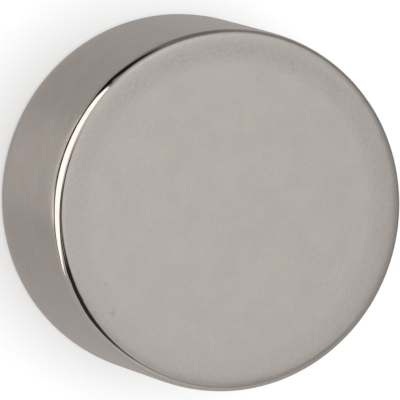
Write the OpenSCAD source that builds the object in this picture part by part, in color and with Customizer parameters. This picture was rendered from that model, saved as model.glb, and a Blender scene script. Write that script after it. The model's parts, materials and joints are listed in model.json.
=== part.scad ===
// Disc magnet: one sintered disc, ground flat and round, tumbled and then
// nickel-plated all over. It has no hole, step or seam, only two pole faces,
// a straight rim and a small round where each face meets the rim.
// Sizes are in millimetres, taken over the plating. The origin is the centre
// of the lower pole face, and +Z runs along the disc's axis.

/* [Disc] */
// Diameter of the rim
disc_d = 20; // [4:0.5:60]
// Height from one pole face to the other
disc_h = 10; // [2:0.5:40]

/* [Edges] */
// Radius that tumbling leaves on both edges
edge_r = 0.4; // [0.1:0.05:0.9]

/* [Hidden] */
$fn = 120;

// Warm grey of satin nickel
nickel = [0.68, 0.65, 0.62];

// Radius of the rim, and of the flat that each pole face keeps
rim_r = disc_d / 2;
flat_r = rim_r - edge_r;

// Heights between which the rim is straight
rim_low_z = edge_r;
rim_high_z = disc_h - edge_r;

// Half of the disc's section, from its axis to its rim: one rectangle reaches
// both pole faces, the other reaches the rim, and a circle rounds each corner
module half_section() {
    square([flat_r, disc_h]);
    translate([0, rim_low_z]) square([rim_r, rim_high_z - rim_low_z]);
    for (z = [rim_low_z, rim_high_z])
        translate([flat_r, z]) circle(r = edge_r);
}

module magnet() {
    color(nickel) rotate_extrude() half_section();
}

magnet();
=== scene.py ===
import json
from math import cos, exp, pi, radians, sin, tan

import bpy
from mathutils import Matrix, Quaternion, Vector


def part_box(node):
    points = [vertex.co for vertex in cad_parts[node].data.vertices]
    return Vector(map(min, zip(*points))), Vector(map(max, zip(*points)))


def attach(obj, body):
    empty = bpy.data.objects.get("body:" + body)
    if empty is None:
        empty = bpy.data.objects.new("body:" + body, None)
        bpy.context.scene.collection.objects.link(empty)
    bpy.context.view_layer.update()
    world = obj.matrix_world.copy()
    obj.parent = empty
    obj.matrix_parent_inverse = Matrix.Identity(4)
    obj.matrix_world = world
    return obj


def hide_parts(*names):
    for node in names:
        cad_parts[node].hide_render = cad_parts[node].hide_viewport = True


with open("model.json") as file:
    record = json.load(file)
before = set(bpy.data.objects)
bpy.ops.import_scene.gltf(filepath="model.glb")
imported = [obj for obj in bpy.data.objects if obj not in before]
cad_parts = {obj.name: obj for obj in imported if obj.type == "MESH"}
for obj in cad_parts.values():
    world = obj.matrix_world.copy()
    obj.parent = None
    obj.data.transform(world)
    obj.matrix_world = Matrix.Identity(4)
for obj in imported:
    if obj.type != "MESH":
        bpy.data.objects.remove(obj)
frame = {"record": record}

scene = bpy.context.scene
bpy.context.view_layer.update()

# the disc as the frame gives it, in metres
discLow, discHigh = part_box("magnet")
discCentre = (discLow + discHigh) / 2
rimRadius = (discHigh.x - discLow.x) / 2
discHeight = discHigh.z - discLow.z
rimMount = next(mount for mount in frame["record"]["mounts"] if mount["name"] == "rim")
edgeRadius = (discHeight - rimMount["dims"]["length_mm"] / 1000) / 2

# bearings go round the disc: 0 is the side nearest the camera (-Y) and 90 is +X


def towards(bearing, drop):
    # unit direction at a bearing, dropped from straight above
    turn, fall = radians(bearing), radians(drop)
    return Vector((sin(fall) * sin(turn), -sin(fall) * cos(turn), cos(fall)))


cameraSettings = {
    "offAxis": 19.9,          # how far the view leans off the disc's axis, degrees
    "roll": 107.1,            # turns the view so that the rim is at its left
    "distance": 0.65,
    "fieldWidth": 0.02199,    # what the view spans at the disc
    "shiftRight": 0.000012,
    "shiftUp": -0.000095,
    "clip": (0.01, 10),
}


def makeCamera(settings):
    backward = towards(0, settings["offAxis"])
    roll = Quaternion((0, 0, 1), radians(settings["roll"]))
    turn = (-backward).to_track_quat("-Z", "Y") @ roll
    bpy.ops.object.camera_add()
    camera = bpy.context.object
    camera.name = "productCamera"
    camera.rotation_mode = "QUATERNION"
    camera.rotation_quaternion = turn
    aim = discCentre - turn @ Vector((settings["shiftRight"], settings["shiftUp"], 0))
    camera.location = aim + backward * settings["distance"]
    camera.data.lens = camera.data.sensor_width * settings["distance"] / settings["fieldWidth"]
    camera.data.clip_start, camera.data.clip_end = settings["clip"]
    scene.camera = camera


makeCamera(cameraSettings)
print("camera placed")


magnetShape = {
    "around": 768,                      # steps round the rim
    "edgeSteps": 40,                    # steps across each edge
    "roundRadius": edgeRadius * 0.86,   # tightest radius, in the middle of an edge
    "faceEase": 0.0035,                 # extra radius where the round runs into a pole face
    "faceEaseTurn": radians(3),         # and the part of its turn that this takes
    "rimEase": 0.005,                   # the same where it runs into the rim
    "rimEaseTurn": radians(5),
    "faceRoll": 0.030,                  # the last millimetre of a face falls off very slightly
    "faceRollTurn": radians(1.2),
    "rimRoll": 0.024,                   # and so does the rim
    "rimRollTurn": radians(1.5),
    "faceRings": (0.0083, 0.0076, 0.0067, 0.0055, 0.004, 0.0025, 0.001),
    "rimRings": 5,
    "waviness": 0.000007,               # how deep the tumbling has left each edge uneven
    "waveLength": 0.0011,
    "waveReach": 2 * edgeRadius,
}
# small knocks on the edges, each at a bearing and a drop round the edge's section
knocks = (
    {"name": "leftKnock", "bearing": -30, "drop": 34, "depth": 0.000006, "size": 0.00045},
    {"name": "leftPip", "bearing": -29, "drop": 62, "depth": 0.000008, "size": 0.00030},
    {"name": "frontKnock", "bearing": 40, "drop": 68, "depth": 0.000011, "size": 0.00040},
    {"name": "frontPip", "bearing": 46, "drop": 40, "depth": 0.000007, "size": 0.00030},
    {"name": "farKnock", "bearing": -126, "drop": 35, "depth": 0.000011, "size": 0.00045},
    {"name": "farPip", "bearing": -139, "drop": 25, "depth": 0.000008, "size": 0.00035},
    {"name": "lowKnock", "bearing": 165, "drop": 140, "depth": 0.000014, "size": 0.00050},
    {"name": "lowPip", "bearing": -70, "drop": 135, "depth": 0.000010, "size": 0.00035},
)


def edgeProfile(shape):
    # (inward, up) steps of a tumbled edge, from the straight rim to the flat pole face
    points = [(0.0, 0.0)]
    fine = 40
    for step in range(shape["edgeSteps"]):
        inward, up = points[-1]
        for part in range(fine):
            share = (step + (part + 0.5) / fine) / shape["edgeSteps"]
            turn = pi / 2 * (share - sin(2 * pi * share) / (2 * pi))
            swing = pi / 2 * (1 - cos(2 * pi * share)) / (shape["edgeSteps"] * fine)
            left = turn - pi / 2
            radius = (shape["roundRadius"]
                      + shape["rimEase"] * exp(-turn / shape["rimEaseTurn"])
                      + shape["rimRoll"] * exp(-turn / shape["rimRollTurn"])
                      + shape["faceEase"] * exp(left / shape["faceEaseTurn"])
                      + shape["faceRoll"] * exp(left / shape["faceRollTurn"]))
            inward += radius * swing * sin(turn)
            up += radius * swing * cos(turn)
        points.append((inward, up))
    return points


def startEdit(piece, mode):
    bpy.ops.object.select_all(action="DESELECT")
    bpy.context.view_layer.objects.active = piece
    piece.select_set(True)
    bpy.ops.object.mode_set(mode="EDIT")
    bpy.ops.mesh.select_mode(type=mode)
    bpy.ops.mesh.select_all(action="DESELECT")


def selectCap(piece, side):
    # the one many-sided face that looks up (side 1) or down (side -1)
    bpy.ops.mesh.select_all(action="DESELECT")
    bpy.ops.object.mode_set(mode="OBJECT")
    for face in piece.data.polygons:
        face.select = face.normal.z * side > 0.9 and len(face.vertices) > 4
    bpy.ops.object.mode_set(mode="EDIT")


def pullCap(radius, newRadius, rise):
    # one ring of faces: the cap moves by the rise and shrinks to its new radius
    bpy.ops.mesh.extrude_region_move(TRANSFORM_OT_translate={"value": (0, 0, rise)})
    share = newRadius / radius
    bpy.ops.transform.resize(value=(share, share, 1), center_override=(0, 0, 0))


def shapeEnd(piece, side, profile, shape):
    selectCap(piece, side)
    straight = discHeight - 2 * profile[-1][1]
    for ring in range(shape["rimRings"]):
        pullCap(rimRadius, rimRadius, side * straight / 2 / (shape["rimRings"] + 1))
    radius, height = rimRadius, 0
    for inward, up in profile[1:]:
        pullCap(radius, rimRadius - inward, side * (up - height))
        radius, height = rimRadius - inward, up
    for ring in shape["faceRings"]:
        pullCap(radius, ring, 0)
        radius = ring


def roughenEdges(piece, shape):
    # uneven to the eye only on the rounds: the faces and the rim stay as ground
    reach = shape["waveReach"]
    group = piece.vertex_groups.new(name="edges")
    for vertex in piece.data.vertices:
        out = (rimRadius - vertex.co.xy.length) / reach
        down = (discHeight / 2 - abs(vertex.co.z - discCentre.z)) / reach
        if out < 1 and down < 1:
            group.add([vertex.index], min(1, 2 - 2 * out, 2 - 2 * down), "REPLACE")
    clouds = bpy.data.textures.new("edgeClouds", "CLOUDS")
    clouds.noise_scale = shape["waveLength"]
    clouds.noise_depth = 2
    bpy.ops.object.modifier_add(type="DISPLACE")
    wave = piece.modifiers[-1]
    wave.texture = clouds
    wave.texture_coords = "LOCAL"
    wave.vertex_group = group.name
    wave.mid_level = 1.0    # only ever inwards
    wave.strength = shape["waviness"]
    bpy.ops.object.modifier_apply(modifier=wave.name)


def knockEdge(piece, knock):
    # pushes the nearest point of the edge in, and its surroundings with it
    side = 1 if knock["drop"] < 90 else -1
    outwards = towards(knock["bearing"], knock["drop"])
    core = towards(knock["bearing"], 90) * (rimRadius - edgeRadius)
    core.z = discCentre.z + side * (discHeight / 2 - edgeRadius)
    place = core + outwards * edgeRadius
    vertices = piece.data.vertices
    nearest = min(vertices, key=lambda vertex: (vertex.co - place).length_squared).index
    startEdit(piece, "VERT")
    bpy.ops.object.mode_set(mode="OBJECT")
    piece.data.vertices[nearest].select = True
    bpy.ops.object.mode_set(mode="EDIT")
    bpy.ops.transform.translate(value=-outwards * knock["depth"],
                                use_proportional_edit=True,
                                proportional_edit_falloff="SMOOTH",
                                proportional_size=knock["size"])
    bpy.ops.object.mode_set(mode="OBJECT")


def makeMagnet(shape):
    profile = edgeProfile(shape)
    middle = (discHeight - 2 * profile[-1][1]) / (shape["rimRings"] + 1)
    bpy.ops.object.select_all(action="DESELECT")
    bpy.ops.mesh.primitive_cylinder_add(vertices=shape["around"], radius=rimRadius,
                                        depth=middle, end_fill_type="NGON",
                                        location=discCentre)
    disc = bpy.context.object
    disc.name = "magnetDisc"
    bpy.ops.object.transform_apply(location=True, rotation=True, scale=True)
    startEdit(disc, "FACE")
    for side in (1, -1):
        shapeEnd(disc, side, profile, shape)
    bpy.ops.object.mode_set(mode="OBJECT")
    roughenEdges(disc, shape)
    for knock in knocks:
        knockEdge(disc, knock)
    bpy.ops.object.shade_smooth()
    inward, down = profile[-1]
    print("edge reaches", round(inward * 1000, 3), "mm in and", round(down * 1000, 3), "mm down")
    return disc


magnet = makeMagnet(magnetShape)
print("magnet modelled,", len(magnet.data.polygons), "faces")


def mathNode(tree, operation, *values):
    node = tree.nodes.new("ShaderNodeMath")
    node.operation = operation
    for socket, value in zip(node.inputs, values):
        if isinstance(value, (int, float)):
            socket.default_value = value
        else:
            tree.links.new(value, socket)
    return node.outputs[0]


def scaleAdd(tree, value, gain, base):
    # value * gain + base
    return mathNode(tree, "MULTIPLY_ADD", value, gain, base)


def product(tree, first, second):
    return mathNode(tree, "MULTIPLY", first, second)


def offMiddle(tree, value):
    # a mask from 0 to 1 as a swing either side of nothing
    return mathNode(tree, "SUBTRACT", value, 0.5)


def rangeNode(tree, value, fromLow, fromHigh, toLow, toHigh):
    node = tree.nodes.new("ShaderNodeMapRange")
    node.interpolation_type = "SMOOTHSTEP"
    tree.links.new(value, node.inputs["Value"])
    node.inputs["From Min"].default_value = fromLow
    node.inputs["From Max"].default_value = fromHigh
    node.inputs["To Min"].default_value = toLow
    node.inputs["To Max"].default_value = toHigh
    return node.outputs["Result"]


def dotNode(tree, vector, axis):
    node = tree.nodes.new("ShaderNodeVectorMath")
    node.operation = "DOT_PRODUCT"
    tree.links.new(vector, node.inputs[0])
    node.inputs[1].default_value = axis
    return node.outputs["Value"]


def noiseNode(tree, vector, scale, detail, roughness=0.5):
    node = tree.nodes.new("ShaderNodeTexNoise")
    tree.links.new(vector, node.inputs["Vector"])
    node.inputs["Detail"].default_value = detail
    node.inputs["Roughness"].default_value = roughness
    if isinstance(scale, (int, float)):
        node.inputs["Scale"].default_value = scale
    else:
        tree.links.new(scale, node.inputs["Scale"])
    return node.outputs["Fac"]


def scaledVector(tree, vector, factors):
    node = tree.nodes.new("ShaderNodeVectorMath")
    node.operation = "MULTIPLY"
    tree.links.new(vector, node.inputs[0])
    node.inputs[1].default_value = factors
    return node.outputs[0]


def mixColour(tree, factor, first, second):
    node = tree.nodes.new("ShaderNodeMix")
    node.data_type = "RGBA"
    tree.links.new(factor, node.inputs[0])
    node.inputs[6].default_value = (*first, 1)
    node.inputs[7].default_value = (*second, 1)
    return node.outputs[2]


def newGroup(name, **inputs):
    # a node group with a Vector and some numbers going in, and one mask coming out
    tree = bpy.data.node_groups.new(name, "ShaderNodeTree")
    tree.interface.new_socket(name="Vector", in_out="INPUT", socket_type="NodeSocketVector")
    for socketName, value in inputs.items():
        socket = tree.interface.new_socket(name=socketName, in_out="INPUT",
                                           socket_type="NodeSocketFloat")
        socket.default_value = value
    tree.interface.new_socket(name="Mask", in_out="OUTPUT", socket_type="NodeSocketFloat")
    given = tree.nodes.new("NodeGroupInput").outputs
    mask = tree.nodes.new("NodeGroupOutput").inputs["Mask"]
    return tree, given, mask


def useGroup(tree, name, vector, **values):
    node = tree.nodes.new("ShaderNodeGroup")
    node.node_tree = bpy.data.node_groups[name]
    tree.links.new(vector, node.inputs["Vector"])
    for socketName, value in values.items():
        node.inputs[socketName].default_value = value
    return node.outputs["Mask"]


effectShapes = {
    "cloudEdges": (0.28, 0.72),     # noise levels where a patch starts and is full
    "fineRatio": 3.7,               # the finer grain against the coarser one
    "fineShare": 0.4,
    "spotEdges": (0.06, 0.16),      # from full to nothing, in cells
    "lightestSpot": 0.3,
    "lineStretch": 0.03,
    "lineEdges": (0.66, 0.74),
    "lineFieldScale": 450.0,        # fields of lines, with plain metal between them
    "lineFieldEdges": (0.5, 0.62),
}


def makeEffects(shapes):
    # cloudPatches: soft patches, from 0 to 1
    tree, given, mask = newGroup("cloudPatches", Scale=500.0)
    cloud = noiseNode(tree, given["Vector"], given["Scale"], 3.0)
    tree.links.new(rangeNode(tree, cloud, *shapes["cloudEdges"], 0, 1), mask)

    # fineGrain: the matt grain of a plated surface, about 0.5 in the middle
    tree, given, mask = newGroup("fineGrain", Scale=5000.0)
    coarse = noiseNode(tree, given["Vector"], given["Scale"], 2.0, 0.6)
    fineScale = product(tree, given["Scale"], shapes["fineRatio"])
    fine = noiseNode(tree, given["Vector"], fineScale, 2.0, 0.6)
    coarsePart = product(tree, coarse, 1 - shapes["fineShare"])
    tree.links.new(scaleAdd(tree, fine, shapes["fineShare"], coarsePart), mask)

    # pinSpots: sparse small spots; Share is the part of the cells that have one
    tree, given, mask = newGroup("pinSpots", Scale=900.0, Share=0.15)
    cells = tree.nodes.new("ShaderNodeTexVoronoi")
    tree.links.new(given["Vector"], cells.inputs["Vector"])
    tree.links.new(given["Scale"], cells.inputs["Scale"])
    size = rangeNode(tree, cells.outputs["Distance"], *shapes["spotEdges"], 1, 0)
    split = tree.nodes.new("ShaderNodeSeparateColor")
    tree.links.new(cells.outputs["Color"], split.inputs[0])
    chosen = mathNode(tree, "LESS_THAN", split.outputs[0], given["Share"])
    lightest = shapes["lightestSpot"]
    weight = scaleAdd(tree, split.outputs[1], 1 - lightest, lightest)
    tree.links.new(product(tree, product(tree, size, chosen), weight), mask)

    # hairLines: fine straight scratches along one direction across the surface
    tree, given, mask = newGroup("hairLines", Turn=0.0, Spacing=9000.0)
    turned = tree.nodes.new("ShaderNodeVectorRotate")
    turned.rotation_type = "Z_AXIS"
    tree.links.new(given["Vector"], turned.inputs["Vector"])
    tree.links.new(given["Turn"], turned.inputs["Angle"])
    stretched = scaledVector(tree, turned.outputs[0], (1, shapes["lineStretch"], 1))
    line = noiseNode(tree, stretched, given["Spacing"], 1.0)
    field = noiseNode(tree, turned.outputs[0], shapes["lineFieldScale"], 1.0)
    thin = rangeNode(tree, line, *shapes["lineEdges"], 0, 1)
    where = rangeNode(tree, field, *shapes["lineFieldEdges"], 0, 1)
    tree.links.new(product(tree, thin, where), mask)


makeEffects(effectShapes)

nickelLook = {
    "warm": (0.722, 0.652, 0.603),
    "cool": (0.698, 0.655, 0.610),
    "faceRoughness": 0.2,
    "edgeRoughness": 0.07,
    "rimRoughness": 0.19,
    # where one surface gives way to the next, in edge radii from its end
    "faceZone": (1.6, 0.9),
    "rimZone": (1.9, 1.0),
    # where the rim's painted halo fades out, in edge radii from its end
    "nearEdgeZone": (5, 1.6),
    # scales are features per metre
    "grainScale": 5000,
    "patchScale": 620.0,
    "hueScale": 1000.0,
    "spotScale": 700.0,
    "spotShare": 0.12,
    "lineFields": ({"Turn": 0.5, "Spacing": 9000.0}, {"Turn": 2.0, "Spacing": 8000.0}),
    "rimLineScale": 16000.0,
    # the darker outer band of a pole face, in shares of the disc's radius
    "bandIn": (0.78, 0.88),
    "bandOut": (0.90, 0.955),
    "bandLeft": 0.25,         # what is left of it outside
    "bandPatches": (0.8, 0.45),
    "bandGrain": (0.7, 0.7),
    "bandDarkestSide": -100,       # the bearing on which that band is strongest
    "bandSideRange": (0.35, 1.1),
    "outerBandDarkening": 0.11,       # how much darker the band is
    # how much each effect changes the tone
    "grainTone": 0.34,
    "patchTone": 0.045,
    "spotTone": 0.14,
    "lineTone": 0.05,
    "rimTone": -0.2,          # the rim is duller than the pole faces
    "paintedHaloTone": 0.04,         # painted highlight: how much lighter the rim is painted next to its edges
    # how much each changes the roughness, and stands up or goes in
    "grainRoughness": 0.08,
    "scratchRoughness": 0.02,
    "faceGrainHeight": (0.8, 0.2),
    "spotHeight": -0.8,
    "scratchHeight": -0.15,
    "rimLineHeight": 0.8,
    "heightUnit": 0.0000012,
}


def zoneMask(tree, distance, end, zone, low, high):
    # goes from low to high as a distance passes through a zone before its end
    start, stop = (end - radii * edgeRadius for radii in zone)
    return rangeNode(tree, distance, start, stop, low, high)


def nickelMasks(tree, look):
    place = tree.nodes.new("ShaderNodeTexCoord").outputs["Object"]
    # how far out from the axis, and how far from the disc's mid height
    lengthNode = tree.nodes.new("ShaderNodeVectorMath")
    lengthNode.operation = "LENGTH"
    tree.links.new(scaledVector(tree, place, (1, 1, 0)), lengthNode.inputs[0])
    out = lengthNode.outputs["Value"]
    rise = mathNode(tree, "SUBTRACT", dotNode(tree, place, (0, 0, 1)), discCentre.z)
    away = mathNode(tree, "ABSOLUTE", rise)
    half = discHeight / 2
    onFace = zoneMask(tree, out, rimRadius, look["faceZone"], 1, 0)
    onRim = zoneMask(tree, away, half, look["rimZone"], 1, 0)
    # painted highlight: the zone next to each edge where the rim is painted lighter
    nearEdge = zoneMask(tree, away, half, look["nearEdgeZone"], 0, 1)

    grain = useGroup(tree, "fineGrain", place, Scale=look["grainScale"])
    patches = useGroup(tree, "cloudPatches", place, Scale=look["patchScale"])
    flattened = scaledVector(tree, place, (1, 1, 0.6))
    hues = useGroup(tree, "cloudPatches", flattened, Scale=look["hueScale"])
    spots = useGroup(tree, "pinSpots", place, Scale=look["spotScale"], Share=look["spotShare"])
    fields = [useGroup(tree, "hairLines", place, **field) for field in look["lineFields"]]
    scratches = mathNode(tree, "ADD", *fields)
    # the rim's fine lines run round it, so they only change with height
    squashed = scaledVector(tree, place, (0.02, 0.02, 1))
    rimLines = noiseNode(tree, squashed, look["rimLineScale"], 3.0, 0.7)

    # the outer band of each pole face is a little darker, in grains, and more so towards one
    # side
    bandIn = rangeNode(tree, out, *(share * rimRadius for share in look["bandIn"]), 0, 1)
    bandOut = rangeNode(tree, out, *(share * rimRadius for share in look["bandOut"]),
                        1, look["bandLeft"])
    band = product(tree, product(tree, bandIn, bandOut), onFace)
    band = product(tree, band, scaleAdd(tree, patches, *look["bandPatches"]))
    across = dotNode(tree, place, towards(look["bandDarkestSide"], 90))
    sides = rangeNode(tree, across, -rimRadius, rimRadius, *look["bandSideRange"])
    band = product(tree, band, sides)
    return {"onFace": onFace, "onRim": onRim, "nearEdge": nearEdge, "grain": grain,
            "patches": patches, "hues": hues, "spots": spots, "scratches": scratches,
            "rimLines": rimLines, "band": band}


def nickelColour(tree, masks, look):
    grainShare = scaleAdd(tree, masks["band"], *look["bandGrain"])
    tone = scaleAdd(tree, masks["band"], -look["outerBandDarkening"], 1.0)
    grainStep = product(tree, offMiddle(tree, masks["grain"]), grainShare)
    tone = scaleAdd(tree, grainStep, look["grainTone"], tone)
    tone = scaleAdd(tree, offMiddle(tree, masks["patches"]), look["patchTone"], tone)
    faceSpots = product(tree, masks["spots"], masks["onFace"])
    tone = scaleAdd(tree, faceSpots, -look["spotTone"], tone)
    lineStep = product(tree, offMiddle(tree, masks["rimLines"]), masks["onRim"])
    tone = scaleAdd(tree, lineStep, look["lineTone"], tone)
    tone = scaleAdd(tree, masks["onRim"], look["rimTone"], tone)
    # painted highlight: the rim is painted lighter next to its edges, a painted halo
    paintedRimHalo = product(tree, masks["nearEdge"], masks["onRim"])
    tone = scaleAdd(tree, paintedRimHalo, look["paintedHaloTone"], tone)
    toned = tree.nodes.new("ShaderNodeVectorMath")
    toned.operation = "SCALE"
    hue = mixColour(tree, masks["hues"], look["warm"], look["cool"])
    tree.links.new(hue, toned.inputs[0])
    tree.links.new(tone, toned.inputs["Scale"])
    return toned.outputs[0]


def nickelRoughness(tree, masks, look):
    base = look["edgeRoughness"]
    rough = scaleAdd(tree, masks["onFace"], look["faceRoughness"] - base, base)
    rough = scaleAdd(tree, masks["onRim"], look["rimRoughness"] - base, rough)
    rough = scaleAdd(tree, offMiddle(tree, masks["grain"]), look["grainRoughness"], rough)
    return scaleAdd(tree, masks["scratches"], look["scratchRoughness"], rough)


def nickelHeight(tree, masks, look):
    grainShare = scaleAdd(tree, masks["onFace"], *look["faceGrainHeight"])
    height = product(tree, masks["grain"], grainShare)
    height = scaleAdd(tree, masks["spots"], look["spotHeight"], height)
    faceScratches = product(tree, masks["scratches"], masks["onFace"])
    height = scaleAdd(tree, faceScratches, look["scratchHeight"], height)
    rimLines = product(tree, masks["rimLines"], masks["onRim"])
    return scaleAdd(tree, rimLines, look["rimLineHeight"], height)


def nickelMaterial(look):
    material = bpy.data.materials.new("satinNickel")
    material.use_nodes = True
    tree = material.node_tree
    shader = tree.nodes["Principled BSDF"]
    shader.inputs["Metallic"].default_value = 1
    masks = nickelMasks(tree, look)
    tree.links.new(nickelColour(tree, masks, look), shader.inputs["Base Color"])
    tree.links.new(nickelRoughness(tree, masks, look), shader.inputs["Roughness"])
    bump = tree.nodes.new("ShaderNodeBump")
    bump.inputs["Strength"].default_value = 1.0
    bump.inputs["Distance"].default_value = look["heightUnit"]
    tree.links.new(nickelHeight(tree, masks, look), bump.inputs["Height"])
    tree.links.new(bump.outputs["Normal"], shader.inputs["Normal"])
    return material


magnet.data.materials.append(nickelMaterial(nickelLook))
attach(magnet, "root")
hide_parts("magnet")
print("nickel finished")


floorLook = {
    "size": 8,
    "paper": 0.62,
    "glow": 0.4,          # softens the shadow
    "roughness": 0.9,
    "shine": 0.1,
}


def makeFloor(look):
    bpy.ops.object.select_all(action="DESELECT")
    bpy.ops.mesh.primitive_plane_add(size=look["size"], location=(0, 0, discLow.z))
    floor = bpy.context.object
    floor.name = "studioFloor"
    material = bpy.data.materials.new("palePaper")
    material.use_nodes = True
    shader = material.node_tree.nodes["Principled BSDF"]
    shader.inputs["Base Color"].default_value = (look["paper"], look["paper"], look["paper"], 1)
    shader.inputs["Emission Color"].default_value = (1, 1, 1, 1)
    shader.inputs["Emission Strength"].default_value = look["glow"]
    shader.inputs["Roughness"].default_value = look["roughness"]
    shader.inputs["Specular IOR Level"].default_value = look["shine"]
    floor.data.materials.append(material)
    floor.visible_glossy = False


makeFloor(floorLook)


domeLevels = {
    "top": 0.66,
    "low": 0.24,                  # round the horizon, on the -X side
    "lowGain": 0.24,              # what the +X side has more
    "under": 0.44,                # what the rim sees
    "underTint": (1.04, 0.995, 0.965),
    "sideSpan": (-0.2, 0.9),      # along X, from the one side to the other
    "riseSpan": (0.1, 0.95),      # along Z, from the horizon to the top
    "fallSpan": (-0.2, -0.9),     # and from the horizon to straight below
}
# each panel runs from one (bearing, drop) to another, and half is its half width in degrees
panels = (
    {"name": "brightPatch", "from": (-140, 15), "to": (-68, 30),
     "half": 6, "soft": 0.12, "level": 0.77},
    {"name": "boom", "from": (135, 19), "to": (57, 68),
     "half": 14, "soft": 0.06, "level": 0.03},
    {"name": "gap", "from": (-12, 20), "to": (75, 20),
     "half": 8, "soft": 0.06, "level": 0.0},
    {"name": "blind", "from": (13, 35), "to": (62, 49),
     "half": 10, "soft": 0.06, "level": 0.02},
    {"name": "farDusk", "from": (118, 48), "to": (215, 64),
     "half": 22, "soft": 0.25, "level": 0.36},
    {"name": "sideDusk", "from": (-72, 58), "to": (-72, 150),
     "half": 20, "soft": 0.2, "level": 0.19},
    {"name": "sideFlag", "from": (-54, 82), "to": (-37, 150),
     "half": 11, "soft": 0.08, "level": 0.01},
    {"name": "frontScreen", "from": (-6, 48), "to": (18, 146),
     "half": 39, "soft": 0.05, "level": 1.47},
    {"name": "kicker", "from": (-24, 151), "to": (34, 151),
     "half": 3, "soft": 0.05, "level": 1.35},
    {"name": "shadowLine", "from": (-42, 137), "to": (16, 149),
     "half": 4.6, "soft": 0.02, "level": 0.0},
    {"name": "shadowTail", "from": (14, 149), "to": (48, 133),
     "half": 4, "soft": 0.02, "level": 0.12},
)


def panelMask(tree, direction, panel):
    start, end = towards(*panel["from"]), towards(*panel["to"])
    forward = (start + end).normalized()
    side = start.cross(end).normalized()
    halfLength = tan(start.angle(end) / 2)
    halfWidth = tan(radians(panel["half"]))
    soft = panel["soft"]
    depth = dotNode(tree, direction, forward)
    mask = mathNode(tree, "GREATER_THAN", depth, 0.0)
    for axis, half in ((side.cross(forward), halfLength), (side, halfWidth)):
        along = mathNode(tree, "DIVIDE", dotNode(tree, direction, axis), depth)
        place = mathNode(tree, "ABSOLUTE", along)
        mask = product(tree, mask, rangeNode(tree, place, half - soft, half + soft, 1, 0))
    return mask


def makeDome(levels):
    world = bpy.data.worlds.new("studioDome")
    scene.world = world
    world.use_nodes = True
    tree = world.node_tree
    direction = tree.nodes.new("ShaderNodeTexCoord").outputs["Generated"]
    height = dotNode(tree, direction, (0, 0, 1))
    low = rangeNode(tree, dotNode(tree, direction, (1, 0, 0)), *levels["sideSpan"],
                    levels["low"], levels["low"] + levels["lowGain"])
    rise = rangeNode(tree, height, *levels["riseSpan"], 0, 1)
    fall = rangeNode(tree, height, *levels["fallSpan"], 0, 1)
    level = scaleAdd(tree, rise, mathNode(tree, "SUBTRACT", levels["top"], low), low)
    level = scaleAdd(tree, fall, mathNode(tree, "SUBTRACT", levels["under"], low), level)
    for panel in panels:
        change = mathNode(tree, "SUBTRACT", panel["level"], level)
        level = scaleAdd(tree, panelMask(tree, direction, panel), change, level)
    tint = mixColour(tree, fall, (1.0, 1.0, 1.0), levels["underTint"])
    tree.links.new(tint, tree.nodes["Background"].inputs["Color"])
    tree.links.new(level, tree.nodes["Background"].inputs["Strength"])


makeDome(domeLevels)
print("dome lit")


overheadScreen = {
    "height": 0.12,         # above the upper pole face
    "from": 0.010,          # its edges along Y
    "to": 0.100,
    "left": -0.027,         # and along X
    "right": 0.028,
    "bright": 0.672,
    "dim": 0.40,
    "fadeAlong": (0.049, 0.084),             # where bright gives way to dim, along Y
    "fadeRight": (0.012, 0.032, 1, 0.5),     # along X: from, to, and the share at each
    "lean": (-0.010, 0.010, 0.98, 1.025),
}


def makeOverheadScreen(settings):
    # lights the upper pole face, a little less towards the disc's far side
    bpy.ops.object.select_all(action="DESELECT")
    middle = ((settings["left"] + settings["right"]) / 2,
              (settings["from"] + settings["to"]) / 2,
              discHigh.z + settings["height"])
    bpy.ops.mesh.primitive_plane_add(size=1, location=middle)
    screen = bpy.context.object
    screen.name = "overheadScreen"
    screen.scale = (settings["right"] - settings["left"], settings["to"] - settings["from"], 1)
    bpy.ops.object.transform_apply(location=True, rotation=True, scale=True)
    material = bpy.data.materials.new("screenGlow")
    material.use_nodes = True
    tree = material.node_tree
    tree.nodes.remove(tree.nodes["Principled BSDF"])
    glow = tree.nodes.new("ShaderNodeEmission")
    tree.links.new(glow.outputs[0], tree.nodes["Material Output"].inputs["Surface"])
    place = tree.nodes.new("ShaderNodeTexCoord").outputs["Object"]
    along = dotNode(tree, place, (0, 1, 0))
    across = dotNode(tree, place, (1, 0, 0))
    level = rangeNode(tree, along, *settings["fadeAlong"], settings["bright"], settings["dim"])
    for change in ("fadeRight", "lean"):
        level = product(tree, level, rangeNode(tree, across, *settings[change]))
    tree.links.new(level, glow.inputs["Strength"])
    screen.data.materials.append(material)
    screen.visible_camera = False
    screen.visible_shadow = False


makeOverheadScreen(overheadScreen)


floorLight = {
    "height": 0.4,
    "energy": 2.1,
    "spread": radians(50),
    "lean": radians(-12),
}


def makeFloorLight(settings):
    bpy.ops.object.light_add(type="SUN", location=(0, 0, settings["height"]))
    light = bpy.context.object
    light.name = "floorLight"
    light.data.energy = settings["energy"]
    light.data.angle = settings["spread"]
    light.rotation_euler = (settings["lean"], 0, 0)
    light.visible_glossy = False


makeFloorLight(floorLight)
print("lights placed")

scene.view_settings.view_transform = "Standard"
